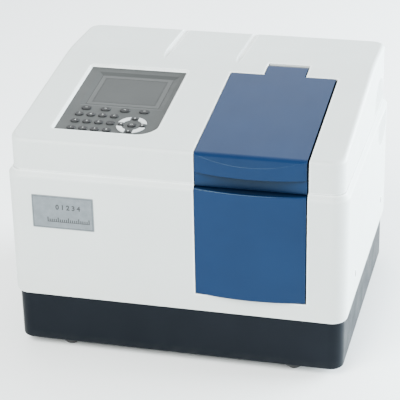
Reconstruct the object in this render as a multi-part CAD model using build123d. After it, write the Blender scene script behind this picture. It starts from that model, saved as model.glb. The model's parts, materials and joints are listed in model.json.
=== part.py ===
"""A bench spectrophotometer with a hinged sample-compartment lid, modelled as its separate pieces.

Row frame, in millimetres: X runs along the front, to the right of a person who faces it, Y runs from the
front to the back and Z is up.  The origin is the middle of the footprint, on the bench.  Each function
returns one piece, and main() writes every piece to parts/NAME.step.
"""

from build123d import *
import math
import os

# ---------------------------------------------------------------- driving dimensions
WIDTH = 480.0  # lower shell, side to side
DEPTH = 400.0  # lower shell, front face to rear face
FOOT_HEIGHT = 12.0
PANEL_BULGE = 8.5  # how far the blue front panel bows out
REAR_STAND_OFF = 3.5  # how far the inlet and fan screws stand out behind
FRONT = PANEL_BULGE - (DEPTH + PANEL_BULGE + REAR_STAND_OFF) / 2  # Y of the shell's front face
REAR = FRONT + DEPTH

BASE_TOP = 86.0  # where the dark base meets the white shell
STEP_TOP = 277.0  # top of the slanted step between the two white mouldings
STEP_RISE = 7.0
STEP_IN = 6.0  # the top cover is this much smaller all round
CREASE_Z = 323.5  # where the front band turns into the slope
BREAK_Y = FRONT + 278.0  # where the slope turns into the flat top
TOP_Z = 364.5
SHELL_WALL = 3.0
COVER_WALL = 3.5
SHELL_CORNER = 22.0
TOP_ROUND = 6.0
TRAY_X = (-79.0, 32.0)  # the flat top's shallow tray, between two round grooves
TRAY_FRONT = FRONT + 240.0
TRAY_DEPTH = 0.9
GROOVE_R = 6.0
GROOVE_DEPTH = 2.7

COVER_FRONT = FRONT + STEP_IN
SLOPE = math.atan2(TOP_Z - CREASE_Z, BREAK_Y - COVER_FRONT)
SLOPE_PLANE = Plane(
    origin=(0, COVER_FRONT, CREASE_Z),
    x_dir=(1, 0, 0),
    z_dir=(0, -math.sin(SLOPE), math.cos(SLOPE)),
)

# base
BASE_IN = 4.0
BASE_WALL = 2.5
BASE_CORNER = 19.0
BASE_LIP_TOP = BASE_TOP + 12.0
EAR_TOP = 136.0
SCREW_Z = 123.5
SCREW_YS = (FRONT + 87.0, FRONT + 341.0)
BENCH_Z = BASE_LIP_TOP
BENCH_THICK = 10.0
BENCH_TOP = BENCH_Z + BENCH_THICK
FOOT_X = 165.0
FOOT_INSET = 27.0
PILLAR_X = 190.0
PILLAR_YS = (FRONT + 45.0, REAR - 45.0)
FLOOR_SLOTS = 8  # air slots through the tray's floor
FLOOR_SLOT_PITCH = 20.0

# lid and front panel
LID_X0 = 30.6
LID_X1 = 184.2
LID_MID = (LID_X0 + LID_X1) / 2
LID_REAR = FRONT + 230.7
LID_GAP = 1.2
LID_GAP_RIGHT = 2.6  # the wider gap on the lid's right
LID_OPENING_CHAMFER = 1.1
CREASE_ROUND = 16.0  # radius where the lid's deck turns down into the lip
LIP_RIM_EASE = 0.8
LID_SKIN = 3.0
LID_SKIRT = 16.0  # how far the side walls reach below the top surface
LIP_BOTTOM = 295.0
LIP_END_Y = FRONT + 4.5  # the lip's face at its two ends
LIP_MID_Y = FRONT - 6.5  # and at its middle
GRIP_BACK = FRONT + 6.5  # the recessed face behind the lip
LIP_FALL = math.radians(42.0)  # how steeply the lip's top falls from the crease
LIP_END_ROUND = 1.5
LIP_EASE = 1.4  # round along the lip's lower edge
LID_FOOT = STEP_TOP - 1.6
TAB_X0 = 79.8
TAB_X1 = 139.0
PIVOT_Y = FRONT + 257.5
PIVOT_DROP = 9.0  # hinge axis below the top surface
PIVOT_Z = CREASE_Z + (PIVOT_Y - COVER_FRONT) * math.tan(SLOPE) - PIVOT_DROP
KNUCKLE_R = PIVOT_DROP * math.cos(SLOPE)
PIN_R = 3.0
BRACKET_EAR = 4.0
RUNNING = 0.05
PANEL_BOTTOM = 114.0
PANEL_TOP = 274.0
PANEL_WALL = 3.0
PANEL_GAP = 0.8
PANEL_GAP_RIGHT = 1.9
SHELF_BACK = FRONT + 20.0

# nameplate
PLATE_X = (-202.5, -113.0)
PLATE_Z = (194.3, 243.8)
PLATE_THICK = 0.8

# sample compartment
TUB_WALL = 2.5
TUB_X0 = LID_X0 - 4.0
TUB_X1 = LID_X1 + 4.0
TUB_Y0 = FRONT + 21.5
TUB_Y1 = LID_REAR + 4.5
TUB_FRONT_TOP = 292.0
LEDGE_DEPTH = 22.0  # below the top surface
BEAM_Z = 172.0
BEAM_Y = FRONT + 116.0
CELL_PITCH = 22.0
CELLS = 4
RAIL_R = 4.0
RAIL_Z = 138.0
RAIL_SPREAD = 32.0
SCREW_R = 4.0
CARRIAGE_TRAVEL = (CELLS - 1) * CELL_PITCH

# display and keypad, in the slope plane: x as the row's X, t up the slope from the crease
FASCIA_X0, FASCIA_X1 = -180.0, -35.5
FASCIA_T0, FASCIA_T1 = 36.5, 222.5
FASCIA_BIG_R = 28.0
FASCIA_SMALL_R = 3.0
FASCIA_FLANGE = 6.0
FASCIA_THICK = 3.4
FASCIA_TOP = -COVER_WALL  # its surface, measured from the cover's outer surface
WINDOW_X0, WINDOW_X1 = -158.0, -50.0
WINDOW_T0, WINDOW_T1 = 116.0, 202.0
WINDOW_BEVEL = 7.5
WINDOW_DROP = 2.0
WINDOW_THICK = 1.5
KEY_GAP = 0.35
KEY_RISE = 1.6
KEY_FLANGE = 1.0
KEY_SIZE = (12.4, 9.6)
FUNCTION_SIZE = (14.4, 9.6)
ARROW_SIZE = (7.6, 7.0)
ENTER_SIZE = (12.8, 10.6)
DIGIT_X = (-157.0, -139.8, -122.6, -105.4)
DIGIT_T = (83.5, 64.2, 44.9)
DIGIT_NAMES = (
    ("digit_key_7", "digit_key_8", "digit_key_9", "clear_key"),
    ("digit_key_4", "digit_key_5", "digit_key_6", "point_key"),
    ("digit_key_1", "digit_key_2", "digit_key_3", "digit_key_0"),
)
FUNCTION_X = (-151.7, -123.3, -94.9, -66.5)
FUNCTION_T = 101.0
PAD_X, PAD_T = -74.2, 62.8
PAD_OFFSET_X, PAD_OFFSET_T = 15.4, 17.6
RING_OUTER, RING_INNER = 21.5, 14.0
ARROWS = {
    "arrow_key_left": (-PAD_OFFSET_X, 0.0),
    "arrow_key_right": (PAD_OFFSET_X, 0.0),
    "arrow_key_up": (0.0, PAD_OFFSET_T),
    "arrow_key_down": (0.0, -PAD_OFFSET_T),
}

# side vent, a round field of upright slots across the step
VENT_Y = FRONT + 332.0
VENT_R = 51.0
VENT_Z = STEP_TOP - STEP_RISE / 2
SLOT_WIDTH = 4.0
SLOT_PITCH = 9.2
SLOT_COUNT = 9
VENT_SPLIT = 7.5  # solid band each side of the step

# rear panel
REAR_PANEL = (300.0, 130.0)
REAR_PANEL_Z = 168.0
REAR_PLATE = 1.5
FAN_X, FAN_SIZE, FAN_DEPTH = -95.0, 80.0, 25.0
FAN_BLADES = 7
GRILLE_R = 37.0
GRILLE_SLOTS = 9
GRILLE_PITCH = 8.0
INLET_X, INLET_Z = 108.0, 150.0
ROCKER_X, ROCKER_Z = 108.0, 196.0
ROCKER_SIZE = (19.0, 12.5)
DATA_XS = (-12.0, 30.0)
DATA_Z = 150.0

# inside
MOTOR = 42.0
MOTOR_LONG = 34.0
SHAFT_R = 2.5
GRATING_AT = (-120.0, FRONT + 190.0)
FILTER_AT = (-12.0, BEAM_Y, BEAM_Z - 24.0)
FILTER_R = 34.0
CASE_BOX = (-205.0, 14.0, FRONT + 55.0, FRONT + 245.0)  # x0, x1, y0, y1
CASE_TOP = 212.0
LAMP_BOX = (66.0, 222.0, FRONT + 276.0, FRONT + 370.0)
LAMP_TOP = 262.0
SOURCE_AT = (104.0, FRONT + 323.0)
MIRROR_SHAFT_R = 3.0


# ---------------------------------------------------------------- helpers
def upright(x0, x1, y0, y1, z0, z1, corner=0.0):
    """A block between three pairs of limits, with its upright edges rounded."""
    wide, deep = x1 - x0, y1 - y0
    outline = RectangleRounded(wide, deep, corner) if corner else Rectangle(wide, deep)
    return extrude(Pos((x0 + x1) / 2, (y0 + y1) / 2, z0) * outline, z1 - z0)


def centred(wide, deep, z0, z1, corner=0.0, inset=0.0):
    """A block with the shell's own centre, inset on all four sides."""
    middle = (FRONT + REAR) / 2
    x, y = wide / 2 - inset, deep / 2 - inset
    return upright(-x, x, middle - y, middle + y, z0, z1, corner)


def rod(start, end, radius):
    """A round bar from start to end."""
    axis = Vector(*end) - Vector(*start)
    return extrude(Plane(origin=start, z_dir=axis.normalized()) * Circle(radius), axis.length)


def side_prism(points, x0, x1):
    """A solid with a side outline of (y, z) points, between two X."""
    outline = make_face(Polyline(*[(0, y, z) for y, z in points], close=True))
    return Pos(x0, 0, 0) * extrude(outline, x1 - x0, dir=(1, 0, 0))


def on_slope(shape):
    """Puts a shape drawn in the slope's own x, t and outward height on the sloping top."""
    return SLOPE_PLANE.location * shape


def below_slope(x0, x1, y0, y1, drop, floor):
    """Everything between floor and a surface parallel to the slope, drop below it."""
    drop_z = drop / math.cos(SLOPE)
    points = [(y0, floor), (y0, slope_z(y0) - drop_z), (y1, slope_z(y1) - drop_z), (y1, floor)]
    return side_prism(points, x0, x1)


def slope_z(y):
    return CREASE_Z + (y - COVER_FRONT) * math.tan(SLOPE)


def bowed_outline(x0, x1, y_end, y_mid, y_back):
    """A plan outline whose front edge is an arc, with its middle at y_mid and its ends at y_end."""
    arc = ThreePointArc((x0, y_end), ((x0 + x1) / 2, y_mid), (x1, y_end))
    back = Polyline((x1, y_end), (x1, y_back), (x0, y_back), (x0, y_end))
    return make_face(Curve() + [arc, back])


def upper_edges(solid, least_up=0.5):
    """The edges round the outside of the faces that look up."""
    seen = []
    for face in solid.faces():
        if face.normal_at(face.center()).Z > least_up:
            seen += list(face.edges())
    return [e for e in seen if sum(1 for other in seen if other.is_same(e)) == 1]


def pan_screw(at, direction, head_r=3.6, shank_r=1.9, shank=9.0, head=2.0):
    """A pan-head screw whose head stands on the point at, looking along direction."""
    out = Vector(*direction)
    plane = Plane(origin=at, z_dir=out)
    head_solid = extrude(plane * Circle(head_r), head)
    rims = head_solid.edges().filter_by(GeomType.CIRCLE).sort_by_distance(Vector(*at) + out * 3 * head)
    head_solid = fillet(rims[0], 0.9)
    slot = extrude(plane.offset(head - 0.9) * (Rectangle(4.4, 1.0) + Rectangle(1.0, 4.4)), 2)
    return head_solid - slot + extrude(plane * Circle(shank_r), -shank)


# ---------------------------------------------------------------- casing
def rubber_feet():
    """Four round feet with a chamfered tread."""
    foot = Cylinder(12.5, FOOT_HEIGHT, align=(Align.CENTER, Align.CENTER, Align.MIN))
    foot = chamfer(foot.edges().sort_by(Axis.Z)[0], 4.0)
    ys = (FRONT + FOOT_INSET, REAR - FOOT_INSET)
    return Compound([Pos(x, y, 0) * foot for x in (-FOOT_X, FOOT_X) for y in ys])


def base_tray():
    """The dark tray that carries everything, with pillars for the bench and ears for the shell."""
    tray = centred(WIDTH, DEPTH, FOOT_HEIGHT, BASE_LIP_TOP, BASE_CORNER, BASE_IN)
    tray = fillet(tray.edges().group_by(Axis.Z)[0], 3.0)
    inner = BASE_CORNER - BASE_WALL
    tray -= centred(WIDTH, DEPTH, FOOT_HEIGHT + BASE_WALL, 200, inner, BASE_IN + BASE_WALL)
    for x in (-PILLAR_X, PILLAR_X):
        for y in PILLAR_YS:
            tray += rod((x, y, FOOT_HEIGHT + 1), (x, y, BENCH_Z), 9)
    side = WIDTH / 2 - BASE_IN
    for sign in (-1, 1):
        outer, inner_x = sorted((sign * side, sign * (side - BASE_WALL)))
        for y in SCREW_YS:
            ear = upright(outer, inner_x, y - 12, y + 12, BASE_LIP_TOP - 4, EAR_TOP)
            tray += ear
            tray -= rod((sign * (side - 5), y, SCREW_Z), (sign * (side + 2), y, SCREW_Z), 1.9)
    for i in range(FLOOR_SLOTS):
        x = -110 + i * FLOOR_SLOT_PITCH
        tray -= Pos(x, FRONT + 200, FOOT_HEIGHT - 1) * extrude(SlotOverall(70, 4, 90), 6)
    return tray


def lower_shell():
    """The white wrap-round moulding, open above and below, with the front opening for the panel."""
    shell = centred(WIDTH, DEPTH, BASE_TOP, STEP_TOP, SHELL_CORNER)
    shell = chamfer(shell.edges().group_by(Axis.Z)[-1], length=STEP_RISE, length2=STEP_IN - 0.6)
    shell = fillet(shell.edges().group_by(Axis.Z)[0], 4.0)
    step_foot = STEP_TOP - STEP_RISE
    rims = [e for e in shell.edges() if abs(e.center().Z - step_foot) < 0.1]
    shell = fillet(rims, 3.0)
    core = centred(WIDTH, DEPTH, BASE_TOP - 5, step_foot - 2, SHELL_CORNER - SHELL_WALL, SHELL_WALL)
    throat = STEP_IN + COVER_WALL - 0.5
    core += centred(WIDTH, DEPTH, 200, STEP_TOP + 5, SHELL_CORNER - throat, throat)
    shell -= core
    panel_z = (PANEL_BOTTOM - PANEL_GAP, STEP_TOP + 5)
    shell -= upright(LID_X0 - PANEL_GAP, LID_X1 + PANEL_GAP_RIGHT, FRONT - 5, FRONT + 40, *panel_z)
    wide, tall = REAR_PANEL
    opening = (wide / 2 - 8, tall / 2 - 8)
    low, high = REAR_PANEL_Z - opening[1], REAR_PANEL_Z + opening[1]
    shell -= upright(-opening[0], opening[0], REAR - 10, REAR + 5, low, high)
    low, high = REAR_PANEL_Z - tall / 2, REAR_PANEL_Z + tall / 2
    shell -= upright(-wide / 2 - 0.3, wide / 2 + 0.3, REAR - REAR_PLATE, REAR + 5, low - 0.3, high + 0.3)
    for x, z in rear_screw_places():
        shell -= rod((x, REAR - 8, z), (x, REAR + 2, z), 1.9)
    for sign in (-1, 1):
        for y in SCREW_YS:
            x = sign * WIDTH / 2
            shell -= rod((x - sign * 2, y, SCREW_Z), (x + sign * 2, y, SCREW_Z), 5.0)
            shell -= rod((x - sign * 6, y, SCREW_Z), (x + sign * 2, y, SCREW_Z), 2.1)
    return shell - vent_slots(above=False)


def cover_blank(inset, rounding):
    """The top cover's closed outer form, inset on every face but the open bottom."""
    front, rear = COVER_FRONT + inset, REAR - STEP_IN - inset
    bottom = STEP_TOP if inset == 0 else STEP_TOP - 30
    drop = inset / math.cos(SLOPE)
    outline = Polyline(
        (0, front, bottom),
        (0, front, slope_z(front) - drop),
        (0, BREAK_Y, slope_z(BREAK_Y) - drop),
        (0, rear, TOP_Z - inset),
        (0, rear, bottom),
        close=True,
    )
    side = make_face(outline)
    crown = [v for v in side.vertices() if abs(v.Y - BREAK_Y) < 0.1 and v.Z > bottom + 5]
    side = fillet(crown, 420)
    blank = Pos(-WIDTH / 2, 0, 0) * extrude(side, WIDTH, dir=(1, 0, 0))
    blank &= centred(WIDTH, DEPTH, bottom, TOP_Z + 5, SHELL_CORNER - 2 - inset, STEP_IN + inset)
    return fillet(upper_edges(blank), rounding)


def fascia_outline(grow=0.0):
    """The keypad fascia's outline in the slope plane: three small corners and one large one."""
    x0, x1 = FASCIA_X0 - grow, FASCIA_X1 + grow
    t0, t1 = FASCIA_T0 - grow, FASCIA_T1 + grow
    face = make_face(Polyline((x0, t0), (x1, t0), (x1, t1), (x0, t1), close=True))
    big = [v for v in face.vertices() if v.X > x1 - 1 and v.Y < t0 + 1]
    face = fillet(big, FASCIA_BIG_R + grow)
    corners = ((x0, t0), (x0, t1), (x1, t1))
    small = [v for v in face.vertices() if any(math.dist((v.X, v.Y), c) < 1 for c in corners)]
    return fillet(small, FASCIA_SMALL_R + grow)


def vent_slots(above):
    """The upright vent slots of the right side wall, above or below the step."""
    slots = []
    for i in range(SLOT_COUNT):
        off = (i - (SLOT_COUNT - 1) / 2) * SLOT_PITCH
        reach = math.sqrt(VENT_R**2 - off**2)
        if above:
            low, high = VENT_Z + VENT_SPLIT, VENT_Z + reach
        else:
            low, high = VENT_Z - reach, VENT_Z - VENT_SPLIT
        middle = (WIDTH / 2 - 20, VENT_Y + off, (low + high) / 2)
        at = Plane(origin=middle, x_dir=(0, 0, 1), z_dir=(1, 0, 0))
        slots.append(extrude(at * SlotOverall(high - low, SLOT_WIDTH), 30))
    return Compound(slots)


def opening_chamfer(x0, x1, y0, y1):
    """What a chamfer round an opening between these limits takes off the sloping top."""
    c = LID_OPENING_CHAMFER
    t0, t1 = ((y - COVER_FRONT) / math.cos(SLOPE) for y in (y0, y1))
    outline = Pos((x0 + x1) / 2, (t0 + t1) / 2, 0.01) * Rectangle(x1 - x0 + 2 * c, t1 - t0 + 2 * c)
    return on_slope(extrude(outline, -c, taper=45))


def upper_cover():
    """The white top cover: front band, sloping deck and flat top, with its openings."""
    cover = cover_blank(0, TOP_ROUND) - cover_blank(COVER_WALL, TOP_ROUND - COVER_WALL)
    x0, x1 = LID_X0 - LID_GAP, LID_X1 + LID_GAP_RIGHT
    cover -= upright(x0, x1, FRONT - 5, LID_REAR + LID_GAP, STEP_TOP - 5, TOP_Z + 20)
    tab = (TAB_X0 - LID_GAP, TAB_X1 + LID_GAP)
    tab_rear = PIVOT_Y + KNUCKLE_R + LID_GAP
    cover -= upright(*tab, LID_REAR, tab_rear, PIVOT_Z - 30, TOP_Z + 20)
    cover -= opening_chamfer(x0, x1, COVER_FRONT - 20, LID_REAR + LID_GAP)
    cover -= opening_chamfer(*tab, LID_REAR, tab_rear)
    cover -= on_slope(extrude(fascia_outline(0.0), 12, both=True))
    rim = COVER_WALL - 0.4
    cover -= on_slope(Pos(0, 0, 0.01) * extrude(fascia_outline(rim), -rim, taper=45))
    # the shallow tray of the flat top and the two grooves at its sides
    cover -= upright(*TRAY_X, TRAY_FRONT, REAR, TOP_Z - TRAY_DEPTH, TOP_Z + 10)
    groove_z = TOP_Z + GROOVE_R - GROOVE_DEPTH
    for x in TRAY_X:
        cover -= rod((x, TRAY_FRONT, groove_z), (x, REAR, groove_z), GROOVE_R)
    return cover - vent_slots(above=True)


def nameplate():
    """A plain foil plate on the front of the lower shell."""
    plate = upright(*PLATE_X, FRONT - PLATE_THICK, FRONT, *PLATE_Z)
    return fillet(plate.edges().filter_by(Axis.Y), 1.0)


def front_panel():
    """The bowed blue panel below the lid, with a shelf that runs in under the lid."""
    x0, x1 = LID_X0, LID_X1
    outline = bowed_outline(x0, x1, FRONT, FRONT - PANEL_BULGE, SHELF_BACK)
    skin = extrude(Pos(0, 0, PANEL_BOTTOM) * outline, PANEL_TOP - PANEL_BOTTOM)
    rim = [e for e in skin.edges() if e.geom_type == GeomType.CIRCLE]
    skin = fillet(rim, 2.2)
    ends, middle = FRONT + PANEL_WALL, FRONT - PANEL_BULGE + PANEL_WALL
    inner = bowed_outline(x0 + PANEL_WALL, x1 - PANEL_WALL, ends, middle, SHELF_BACK + 5)
    inner_height = PANEL_TOP - PANEL_BOTTOM - 2 * PANEL_WALL
    hollow = extrude(Pos(0, 0, PANEL_BOTTOM + PANEL_WALL) * inner, inner_height)
    return skin - hollow


# ---------------------------------------------------------------- lid and hinge
def compartment_lid():
    """The blue lid: a skin with side walls, a bowed grip lip, a recessed front skirt and a hinge tab."""
    inner_x = (LID_X0 + LID_SKIN, LID_X1 - LID_SKIN)
    inner_front = GRIP_BACK + LID_SKIN
    above = on_slope(Pos(0, 0, 20) * Box(600, 600, 40))
    deck = below_slope(LID_X0, LID_X1, GRIP_BACK, LID_REAR, 0, LID_FOOT)
    deck -= below_slope(LID_X0 - 1, LID_X1 + 1, inner_front, LID_REAR + 5, LID_SKIRT, LID_FOOT - 40)
    lid = deck - lip_fall(0) + grip_lip(above) - crease_corner()
    lid -= below_slope(*inner_x, inner_front, LID_REAR - LID_SKIN, LID_SKIN, 200)
    inner = bowed_outline(*inner_x, LIP_END_Y + 4, LIP_MID_Y + 4, inner_front + 1)
    pocket = extrude(Pos(0, 0, LIP_BOTTOM + LID_SKIN) * inner, 60)
    pocket -= Pos(0, 0, -4) * above
    lid -= pocket - lip_fall(-4)
    tab_t0 = (LID_REAR - 6 - COVER_FRONT) / math.cos(SLOPE)
    tab_t1 = (PIVOT_Y - COVER_FRONT) / math.cos(SLOPE) - PIVOT_DROP * math.sin(SLOPE)
    tab = Pos((TAB_X0 + TAB_X1) / 2, (tab_t0 + tab_t1) / 2, -3) * Box(TAB_X1 - TAB_X0, tab_t1 - tab_t0, 6)
    lid += on_slope(tab)
    lid += rod((TAB_X0, PIVOT_Y, PIVOT_Z), (TAB_X1, PIVOT_Y, PIVOT_Z), KNUCKLE_R)
    return lid - rod((TAB_X0 - 5, PIVOT_Y, PIVOT_Z), (TAB_X1 + 5, PIVOT_Y, PIVOT_Z), PIN_R + RUNNING)


def crease_corner():
    """The sharp corner at the crease, outside a round bar that touches the deck and the lip's top."""
    reach = CREASE_ROUND * math.tan((LIP_FALL - SLOPE) / 2)
    behind = (COVER_FRONT + reach * math.cos(SLOPE), CREASE_Z + reach * math.sin(SLOPE))
    ahead = (COVER_FRONT - reach * math.cos(LIP_FALL), CREASE_Z - reach * math.sin(LIP_FALL))
    x0, x1 = LID_X0 - 1, LID_X1 + 1
    corner = side_prism([behind, (COVER_FRONT, CREASE_Z + 0.5), ahead], x0, x1)
    y, z = behind[0] + CREASE_ROUND * math.sin(SLOPE), behind[1] - CREASE_ROUND * math.cos(SLOPE)
    return corner - rod((x0 - 1, y, z), (x1 + 1, y, z), CREASE_ROUND)


def grip_lip(above):
    """The bowed lip that overhangs the lid's front, with its top falling away and its edges eased."""
    outline = bowed_outline(LID_X0, LID_X1, LIP_END_Y, LIP_MID_Y, GRIP_BACK + 1)
    lip = extrude(Pos(0, 0, LIP_BOTTOM) * outline, 60)
    ends = [e for e in lip.edges().filter_by(Axis.Z) if e.center().Y < LIP_END_Y + 0.1]
    lip = fillet(ends, LIP_END_ROUND) - above - lip_fall(0)
    arcs = [e for e in lip.edges() if e.geom_type == GeomType.CIRCLE]
    low_arcs = [e for e in arcs if abs(e.center().Z - LIP_BOTTOM) < 0.1]
    lip = fillet(max(low_arcs, key=lambda e: e.length), LIP_EASE)
    rims = [e for e in lip.edges() if e.geom_type == GeomType.ELLIPSE and e.center().Z > LIP_BOTTOM + 5]
    return fillet(max(rims, key=lambda e: e.length), LIP_RIM_EASE)


def lip_fall(lift):
    """The space above the lip's falling top, which starts at the crease line."""
    plane = Plane(
        origin=(0, COVER_FRONT, CREASE_Z),
        x_dir=(1, 0, 0),
        z_dir=(0, -math.sin(LIP_FALL), math.cos(LIP_FALL)),
    )
    return plane.location * Pos(0, 0, 50 + lift) * Box(600, 600, 100)


def hinge_bracket():
    """A trough under the tab, whose two ears carry the hinge pin."""
    ear = BRACKET_EAR
    x0, x1 = TAB_X0 - LID_GAP - ear, TAB_X1 + LID_GAP + ear
    y0, y1 = LID_REAR + 5.5, PIVOT_Y + KNUCKLE_R + 5.0
    block = below_slope(x0, x1, y0, y1, COVER_WALL + 1.2, PIVOT_Z - 18)
    trough = upright(x0 + ear, x1 - ear, y0 - 5, y1 - 3, PIVOT_Z - 15, PIVOT_Z + 40)
    return block - trough - rod((x0 - 5, PIVOT_Y, PIVOT_Z), (x1 + 5, PIVOT_Y, PIVOT_Z), PIN_R)


def hinge_pin():
    reach = LID_GAP + BRACKET_EAR + 1.0
    return rod((TAB_X0 - reach, PIVOT_Y, PIVOT_Z), (TAB_X1 + reach, PIVOT_Y, PIVOT_Z), PIN_R)


# ---------------------------------------------------------------- display and keypad
def key_outline(size, grow=0.0):
    wide, deep = size[0] + 2 * grow, size[1] + 2 * grow
    return RectangleRounded(wide, deep, min(wide, deep) * 0.47)


def key_places():
    """Every key's name, its centre in the slope plane and its size."""
    places = []
    for row, t in zip(DIGIT_NAMES, DIGIT_T):
        places += [(name, x, t, KEY_SIZE) for name, x in zip(row, DIGIT_X)]
    for i, x in enumerate(FUNCTION_X):
        places.append((f"function_key_{i + 1}", x, FUNCTION_T, FUNCTION_SIZE))
    for name, (dx, dt) in ARROWS.items():
        places.append((name, PAD_X + dx, PAD_T + dt, ARROW_SIZE))
    places.append(("enter_key", PAD_X, PAD_T, ENTER_SIZE))
    return places


def key(x, t, size):
    """A domed key cap with a retaining flange under the fascia."""
    underside = FASCIA_TOP - FASCIA_THICK - 0.2
    top = FASCIA_TOP + KEY_RISE
    cap = extrude(Pos(x, t, underside - 0.5) * key_outline(size), top - underside + 0.5)
    cap = fillet(cap.edges().group_by(Axis.Z)[-1], 1.1)
    flange = extrude(Pos(x, t, underside) * key_outline(size, KEY_FLANGE), -1.0)
    return on_slope(cap + flange)


def keypad_fascia():
    """The grey plate behind the cover's opening, with a bevelled display window and the key holes."""
    plate = extrude(Pos(0, 0, FASCIA_TOP) * fascia_outline(FASCIA_FLANGE), -FASCIA_THICK)
    wide, deep = WINDOW_X1 - WINDOW_X0, WINDOW_T1 - WINDOW_T0
    middle = ((WINDOW_X0 + WINDOW_X1) / 2, (WINDOW_T0 + WINDOW_T1) / 2)
    plate -= Pos(*middle, FASCIA_TOP - 5) * Box(wide, deep, 12)
    outer = Pos(*middle, FASCIA_TOP) * Rectangle(wide + 2 * WINDOW_BEVEL, deep + 2 * WINDOW_BEVEL)
    inner = Pos(*middle, FASCIA_TOP - WINDOW_DROP) * Rectangle(wide + 1, deep + 1)
    plate -= loft([outer.face(), inner.face()])
    seat = Pos(*middle, FASCIA_TOP - WINDOW_DROP) * Rectangle(wide + 1, deep + 1)
    plate -= extrude(seat, -5)
    for _, x, t, size in key_places():
        plate -= extrude(Pos(x, t, FASCIA_TOP - 6) * key_outline(size, KEY_GAP), 12)
    return on_slope(plate)


def display_window():
    wide, deep = WINDOW_X1 - WINDOW_X0, WINDOW_T1 - WINDOW_T0
    middle = ((WINDOW_X0 + WINDOW_X1) / 2, (WINDOW_T0 + WINDOW_T1) / 2)
    top = FASCIA_TOP - WINDOW_DROP + 0.1
    return on_slope(extrude(Pos(*middle, top) * Rectangle(wide + 0.8, deep + 0.8), -WINDOW_THICK))


def display_board():
    """The circuit board under the fascia, with the display module standing on it."""
    board_top = FASCIA_TOP - FASCIA_THICK - 3.0
    x0, x1 = FASCIA_X0 + 6, FASCIA_X1 - 6
    t0, t1 = FASCIA_T0 + 4, FASCIA_T1 - 4
    board = Pos((x0 + x1) / 2, (t0 + t1) / 2, board_top - 0.8) * Box(x1 - x0, t1 - t0, 1.6)
    middle = ((WINDOW_X0 + WINDOW_X1) / 2, (WINDOW_T0 + WINDOW_T1) / 2)
    window_under = FASCIA_TOP - WINDOW_DROP + 0.1 - WINDOW_THICK
    tall = window_under - 0.3 - board_top
    wide, deep = WINDOW_X1 - WINDOW_X0 - 1, WINDOW_T1 - WINDOW_T0 - 1
    display = Pos(*middle, board_top + tall / 2) * Box(wide, deep, tall)
    return on_slope(board + display)


def navigation_ring():
    """A raised ring round the enter key, cut away where the arrow keys pass."""
    ring = extrude(Pos(PAD_X, PAD_T, FASCIA_TOP) * (Circle(RING_OUTER) - Circle(RING_INNER)), 1.2)
    ring = fillet(ring.edges().group_by(Axis.Z)[-1], 0.6)
    for dx, dt in ARROWS.values():
        gap = key_outline(ARROW_SIZE, 2.4)
        ring -= extrude(Pos(PAD_X + dx, PAD_T + dt, FASCIA_TOP - 1) * gap, 6)
        if dx:
            ring -= Pos(PAD_X + dx, PAD_T, FASCIA_TOP) * Box(20, 11, 6)
        else:
            ring -= Pos(PAD_X, PAD_T + dt, FASCIA_TOP) * Box(12, 20, 6)
    return on_slope(ring)


# ---------------------------------------------------------------- sample compartment
def sample_tub():
    """The black compartment box, cut to the slope, with beam ports and a ledge for the seal."""
    floor = BENCH_TOP
    tub = below_slope(TUB_X0, TUB_X1, TUB_Y0, TUB_Y1, COVER_WALL + 0.3, floor)
    well = below_slope(
        TUB_X0 + TUB_WALL, TUB_X1 - TUB_WALL, TUB_Y0 + TUB_WALL, TUB_Y1 - TUB_WALL, -20, floor + TUB_WALL
    )
    tub -= well
    tub -= upright(TUB_X0 - 5, TUB_X1 + 5, TUB_Y0 - 5, TUB_Y0 + TUB_WALL + 0.1, TUB_FRONT_TOP, TOP_Z)
    ledge_in = 10.0
    ledge = below_slope(TUB_X0 + 1, TUB_X1 - 1, TUB_Y0 + 1, TUB_Y1 - 1, LEDGE_DEPTH, 200)
    ledge -= below_slope(TUB_X0, TUB_X1, TUB_Y0, TUB_Y1, LEDGE_DEPTH + 2.5, 150)
    ledge -= upright(
        TUB_X0 + ledge_in, TUB_X1 - ledge_in, TUB_Y0 - 5, TUB_Y1 - ledge_in, 200, TOP_Z
    )
    ledge -= upright(TUB_X0, TUB_X1, TUB_Y0 - 5, TUB_Y0 + 12, 200, TOP_Z)
    tub += ledge
    tab = (TAB_X0 - LID_GAP, TAB_X1 + LID_GAP)
    tub -= below_slope(*tab, TUB_Y1 - 5, TUB_Y1 + 5, -20, slope_z(TUB_Y1) - 13)
    for x in (TUB_X0, TUB_X1):
        tub -= rod((x - 4, BEAM_Y, BEAM_Z), (x + 4, BEAM_Y, BEAM_Z), 7)
    for dx in (-RAIL_SPREAD, RAIL_SPREAD):
        tub -= rod((LID_MID + dx, TUB_Y0 - 2, RAIL_Z), (LID_MID + dx, TUB_Y1 + 2, RAIL_Z), RAIL_R)
    tub -= rod((LID_MID, TUB_Y0 - 2, RAIL_Z), (LID_MID, TUB_Y1 + 2, RAIL_Z), SCREW_R + 0.4)
    return tub


def compartment_seal():
    """A foam strip on the tub's ledge, three sides round, that the closed lid's walls meet."""
    strip_in = 9.0
    x0, x1 = TUB_X0 + TUB_WALL + 0.1, TUB_X1 - TUB_WALL - 0.1
    y0, y1 = TUB_Y0 + 12.5, TUB_Y1 - TUB_WALL - 0.1
    strip = below_slope(x0, x1, y0, y1, LID_SKIRT + 0.5, 200)
    strip -= below_slope(x0 - 1, x1 + 1, y0 - 1, y1 + 1, LEDGE_DEPTH, 150)
    return strip - upright(TUB_X0 + strip_in, TUB_X1 - strip_in, y0 - 5, TUB_Y1 - strip_in, 200, TOP_Z)


def carriage_rails():
    """Two steel rails that the cell carriage runs on."""
    rails = [
        rod((LID_MID + dx, TUB_Y0, RAIL_Z), (LID_MID + dx, TUB_Y1, RAIL_Z), RAIL_R)
        for dx in (-RAIL_SPREAD, RAIL_SPREAD)
    ]
    return Compound(rails)


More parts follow.
